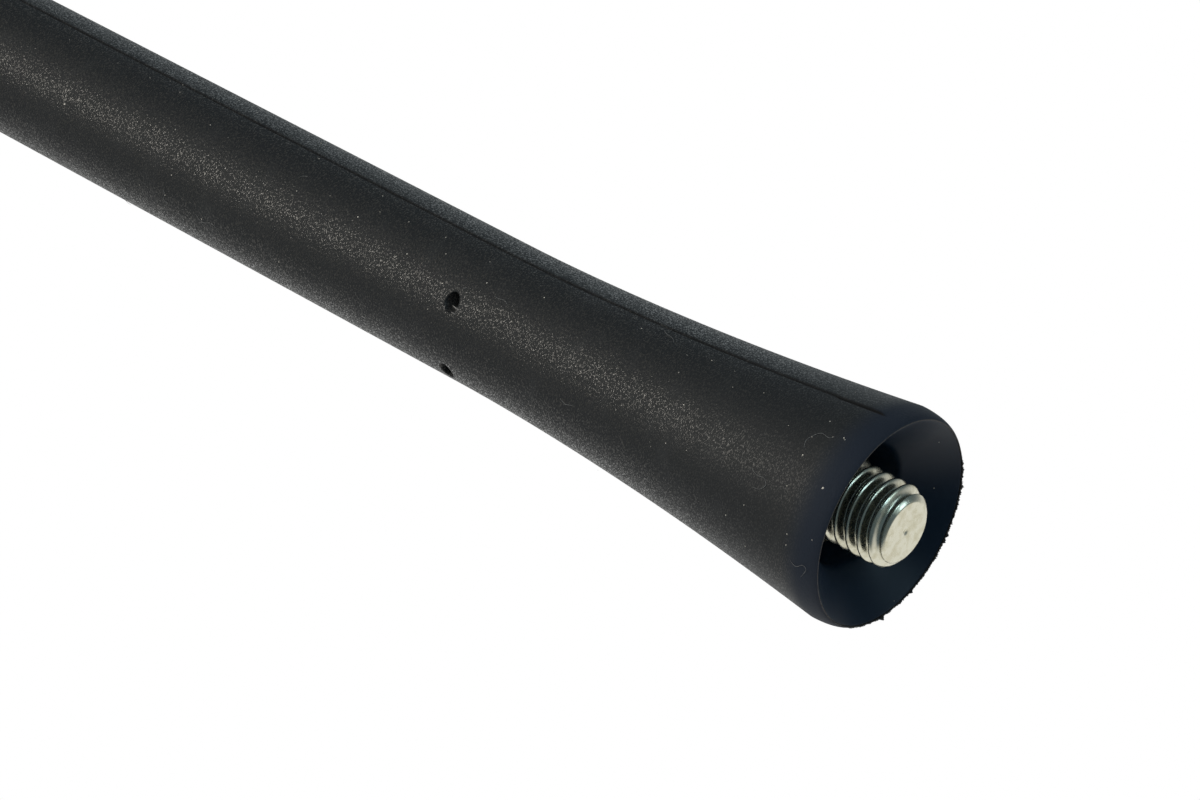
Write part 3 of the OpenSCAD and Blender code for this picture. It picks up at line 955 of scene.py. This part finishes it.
def jacket_material(grain):
    """Matt black elastomer: grain that fades toward the lip, paler on its raised spots.

    The lip's band has a painted shade: its colour is even and blue-black, as the mouth is,
    standing in for the dim reflection on its rounding, and it is rougher. The parting line
    has a painted shade of its groove in its colour, and is duller.
    """
    material, tree, shader = new_material("elastomer_grained", Specular_IOR_Level=0.5)
    coords = node(tree, "ShaderNodeTexCoord")
    split = node(tree, "ShaderNodeSeparateXYZ")
    fade = ramp(tree, *GRAIN_FADE)
    speckle = node(tree, "ShaderNodeMath", operation="MULTIPLY")
    # Painted shade: near the lip the colour is mixed toward blue-black, standing in for the dim
    # reflection on the lip's rounding
    lip = ramp(tree, *LIP_SHADE_FADE)
    rim = node(tree, "ShaderNodeMix", data_type="RGBA")
    rim.inputs["B"].default_value = LIP_SHADE_COLOUR
    rim_rough = node(tree, "ShaderNodeMix", {"B": LIP_ROUGH}, data_type="FLOAT")
    pits = node(tree, "ShaderNodeGroup", {"Cell Scale": GRAIN_CELLS}, node_tree=grain)
    bump = node(tree, "ShaderNodeBump", {"Strength": 1.0, "Distance": GRAIN_DEPTH})
    spots = node(tree, "ShaderNodeMix", data_type="RGBA")
    spots.inputs["A"].default_value = GRAIN_LOW
    spots.inputs["B"].default_value = GRAIN_RAISED
    haze = node(tree, "ShaderNodeMix", data_type="RGBA")
    haze.inputs["B"].default_value = HAZE
    hazy = ramp(tree, 0.5, 0.8, 0.0, HAZE_MOST)
    # Painted shade of the parting line's groove: the mask named seam darkens the colour and adds
    # roughness
    line = node(tree, "ShaderNodeAttribute", attribute_name="seam")
    seam_shade_mix = node(tree, "ShaderNodeMix", data_type="RGBA")
    seam_shade_mix.inputs["B"].default_value = SEAM_SHADE_COLOUR
    depth = node(tree, "ShaderNodeMath", {1: SEAM_SHADE_DARKNESS}, operation="MULTIPLY", use_clamp=True)
    stretch = node(tree, "ShaderNodeMapping", {"Scale": GRAIN_STRETCH})
    rough = ramp(tree, 0.0, 1.0, GRAIN_LOW_ROUGH, GRAIN_RAISED_ROUGH)
    worn = node(tree, "ShaderNodeMath", operation="ADD", use_clamp=True)
    wire(tree, (
        (coords, "Object", stretch, "Vector"),
        (stretch, 0, pits, "Vector"),
        (coords, "Object", split, 0),
        (split, "Z", fade, "Value"),
        (fade, 0, pits, "Fade"),
        (pits, "Height", bump, "Height"),
        (split, "Z", lip, "Value"),
        (pits, "Raised", speckle, 0),
        (fade, 0, speckle, 1),
        (speckle, 0, spots, "Factor"),
        (pits, "Drift", hazy, "Value"),
        (spots, "Result", haze, "A"),
        (hazy, 0, haze, "Factor"),
        (haze, "Result", rim, "A"),
        (lip, 0, rim, "Factor"),
        (rim, "Result", seam_shade_mix, "A"),
        (line, "Fac", depth, 0),
        (depth, 0, seam_shade_mix, "Factor"),
        (seam_shade_mix, "Result", shader, "Base Color"),
        (speckle, 0, rough, "Value"),
        (rough, 0, rim_rough, "A"),
        (lip, 0, rim_rough, "Factor"),
        (rim_rough, "Result", worn, 0),
        (depth, 0, worn, 1),
        (worn, 0, shader, "Roughness"),
        (bump, 0, shader, "Normal"),
    ))
    return material


def mouth_material(grain):
    """The mouth's smooth inside, from the mould's polished core: blue-black, satin."""
    material, tree, shader = new_material("elastomer_smooth_mouth", Specular_IOR_Level=0.2)
    coords = node(tree, "ShaderNodeTexCoord")
    pits = node(tree, "ShaderNodeGroup", {"Cell Scale": MOUTH_CELLS, "Fade": 0.3}, node_tree=grain)
    bump = node(tree, "ShaderNodeBump", {"Strength": 0.5, "Distance": MOUTH_GRAIN_DEPTH})
    tone = node(tree, "ShaderNodeMix", data_type="RGBA")
    tone.inputs["A"].default_value = MOUTH_DARK
    tone.inputs["B"].default_value = MOUTH_PALE
    rough = ramp(tree, 0.3, 0.7, MOUTH_SMOOTH, MOUTH_ROUGH)
    wire(tree, (
        (coords, "Object", pits, "Vector"),
        (pits, "Drift", tone, "Factor"),
        (pits, "Drift", rough, "Value"),
        (pits, "Height", bump, "Height"),
        (tone, "Result", shader, "Base Color"),
        (rough, 0, shader, "Roughness"),
        (bump, 0, shader, "Normal"),
    ))
    return material


def mottle_group():
    """Two colours mixed by soft noise, with a matching roughness and height."""
    group, source, sink = new_group(
        "metal_mottle",
        [("Vector", "Vector"), ("Scale", "Float"), ("Bright", "Color"), ("Dull", "Color"),
         ("Smooth", "Float"), ("Rough", "Float")],
        [("Color", "Color"), ("Roughness", "Float"), ("Height", "Float")],
    )
    noise = node(group, "ShaderNodeTexNoise", {"Detail": 4.0, "Roughness": 0.6})
    mask = ramp(group, 0.38, 0.66)
    mix = node(group, "ShaderNodeMix", data_type="RGBA")
    level = node(group, "ShaderNodeMix", data_type="FLOAT")
    wire(group, (
        (source, "Vector", noise, "Vector"),
        (source, "Scale", noise, "Scale"),
        (noise, "Fac", mask, "Value"),
        (mask, 0, mix, "Factor"),
        (mask, 0, level, "Factor"),
        (source, "Bright", mix, "A"),
        (source, "Dull", mix, "B"),
        (source, "Smooth", level, "A"),
        (source, "Rough", level, "B"),
        (mix, "Result", sink, "Color"),
        (level, "Result", sink, "Roughness"),
        (noise, "Fac", sink, "Height"),
    ))
    return group


def mottled_material(name, mottle):
    """A material whose colour, roughness and height follow the mottle group's noise."""
    scale, bright, dull, smooth, rough, metallic, depth = MOTTLED[name]
    material, tree, shader = new_material(name, Metallic=metallic)
    coords = node(tree, "ShaderNodeTexCoord")
    turn = node(tree, "ShaderNodeMapping", {"Scale": MOTTLE_STRETCH.get(name, (1, 1, 1))})
    group = node(tree, "ShaderNodeGroup", {
        "Scale": scale, "Bright": (*bright, 1), "Dull": (*dull, 1), "Smooth": smooth, "Rough": rough,
    }, node_tree=mottle)
    bump = node(tree, "ShaderNodeBump", {"Strength": 1.0, "Distance": depth * MM})
    wire(tree, (
        (coords, "Object", turn, "Vector"),
        (turn, 0, group, "Vector"),
        (group, "Color", shader, "Base Color"),
        (group, "Roughness", shader, "Roughness"),
        (group, "Height", bump, "Height"),
        (bump, 0, shader, "Normal"),
    ))
    return material


# Light and floor

def make_world():
    """White for the camera. In reflections, a bright wall in a dim, cool room.

    The wall's level is a smooth step on the cosine to WALL_SIDE. It is cut off toward the
    camera's own side and nearly so toward DARK_CORNER. Other rays meet even soft light.
    """
    world = bpy.data.worlds.new("studio")
    bpy.context.scene.world = world
    world.use_nodes = True
    tree = world.node_tree
    tree.nodes.clear()
    out = node(tree, "ShaderNodeOutputWorld")
    shown = node(tree, "ShaderNodeBackground")
    soft = node(tree, "ShaderNodeBackground", {"Color": SOFT_COLOUR, "Strength": SOFT_LEVEL})
    mix = node(tree, "ShaderNodeMixShader")
    rays = node(tree, "ShaderNodeLightPath")
    either = node(tree, "ShaderNodeMath", operation="MAXIMUM")
    any_three = node(tree, "ShaderNodeMath", operation="MAXIMUM")
    coords = node(tree, "ShaderNodeTexCoord")
    wall_side = tuple(unit(seen_direction(*WALL_SIDE)))
    camera_side = tuple(seen_direction(0, 0, 1))
    wall = node(tree, "ShaderNodeVectorMath", {1: wall_side}, operation="DOT_PRODUCT")
    back = node(tree, "ShaderNodeVectorMath", {1: camera_side}, operation="DOT_PRODUCT")
    rise = ramp(tree, *WALL_RISE)
    cut = ramp(tree, *WALL_CUT)
    both = node(tree, "ShaderNodeMath", operation="MULTIPLY")
    corner_side = tuple(unit(seen_direction(*DARK_CORNER)))
    corner = node(tree, "ShaderNodeVectorMath", {1: corner_side}, operation="DOT_PRODUCT")
    unlit = ramp(tree, *CORNER_FALL)
    lit = node(tree, "ShaderNodeMath", operation="MULTIPLY")
    room = node(tree, "ShaderNodeMix", data_type="RGBA")
    room.inputs["A"].default_value = (*(t * ROOM_LEVEL for t in ROOM_TINT), 1)
    room.inputs["B"].default_value = (*(t * WALL_LEVEL for t in WALL_TINT), 1)
    camera = node(tree, "ShaderNodeMix", data_type="RGBA")
    camera.inputs["B"].default_value = (1, 1, 1, 1)
    wire(tree, (
        (coords, "Generated", wall, 0),
        (coords, "Generated", back, 0),
        (wall, "Value", rise, "Value"),
        (back, "Value", cut, "Value"),
        (rise, 0, both, 0),
        (cut, 0, both, 1),
        (coords, "Generated", corner, 0),
        (corner, "Value", unlit, "Value"),
        (both, 0, lit, 0),
        (unlit, 0, lit, 1),
        (lit, 0, room, "Factor"),
        (room, "Result", camera, "A"),
        (rays, "Is Camera Ray", camera, "Factor"),
        (camera, "Result", shown, "Color"),
        (rays, "Is Camera Ray", either, 0),
        (rays, "Is Glossy Ray", either, 1),
        (either, 0, any_three, 0),
        (rays, "Is Transmission Ray", any_three, 1),
        (any_three, 0, mix, 0),
        (soft, 0, mix, 1),
        (shown, 0, mix, 2),
        (mix, 0, out, "Surface"),
    ))


def make_lamp(name, direction, distance, size, power, colour):
    """A round area lamp in a direction that the camera sees, facing LAMP_TARGET."""
    data = bpy.data.lights.new(name, "AREA")
    data.shape = "DISK"
    data.size = size
    data.energy = power
    data.color = colour
    lamp = bpy.data.objects.new(name, data)
    bpy.context.scene.collection.objects.link(lamp)
    back = unit(seen_direction(*direction))
    right = unit(np.cross([0.1, 0.2, 1], back))
    place(lamp, right, np.cross(back, right), back, np.array(LAMP_TARGET) + back * distance)


def make_floor():
    """A pale floor at the stud's end, clear from below, to lamps and in reflections."""
    half = FLOOR_HALF
    height = STUD_END - FLOOR_GAP
    material = bpy.data.materials.new("floor_pale")
    material.use_nodes = True
    tree = material.node_tree
    tree.nodes.clear()
    out = node(tree, "ShaderNodeOutputMaterial")
    pale = node(tree, "ShaderNodeBsdfDiffuse", {"Color": FLOOR_COLOUR})
    clear = node(tree, "ShaderNodeBsdfTransparent")
    mix = node(tree, "ShaderNodeMixShader")
    side = node(tree, "ShaderNodeNewGeometry")
    rays = node(tree, "ShaderNodeLightPath")
    below = node(tree, "ShaderNodeMath", operation="MAXIMUM")
    either = node(tree, "ShaderNodeMath", operation="MAXIMUM")
    wire(tree, (
        (side, "Backfacing", below, 0),
        (rays, "Is Shadow Ray", below, 1),
        (below, 0, either, 0),
        (rays, "Is Glossy Ray", either, 1),
        (either, 0, mix, 0),
        (pale, 0, mix, 1),
        (clear, 0, mix, 2),
        (mix, 0, out, "Surface"),
    ))
    mesh = bpy.data.meshes.new("floor")
    corners = ((-half, -half), (half, -half), (half, half), (-half, half))
    mesh.from_pydata([(x, y, height) for x, y in corners], [], [(0, 1, 2, 3)])
    mesh.materials.append(material)
    floor = bpy.data.objects.new("floor", mesh)
    bpy.context.scene.collection.objects.link(floor)


def dress():
    """Makes every piece and gives each node its finish."""
    grain, mottle = grain_group(), mottle_group()
    mottled = {name: mottled_material(name, mottle) for name in MOTTLED}
    jacket = make_jacket([jacket_material(grain), mouth_material(grain)])
    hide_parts("jacket")
    on_jacket = [
        jacket,
        make_mouth_flash([mottled["elastomer_torn"]]),
        make_flakes([mottled["elastomer_flake"]]),
        make_dust([mottled["dust_pale"]]),
        make_lint([mottled["lint_grey"]]),
    ]
    terminal = make_terminal([mottled["terminal_plated"]])
    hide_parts("terminal")
    for name, finish in INNER_FINISHES.items():
        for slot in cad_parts[name].material_slots:
            slot.link = "OBJECT"
            slot.material = mottled[finish]


make_camera()
dress()
make_world()
make_floor()
for lamp in LAMPS:
    make_lamp(*lamp)

bpy.context.scene.view_settings.view_transform = "Standard"
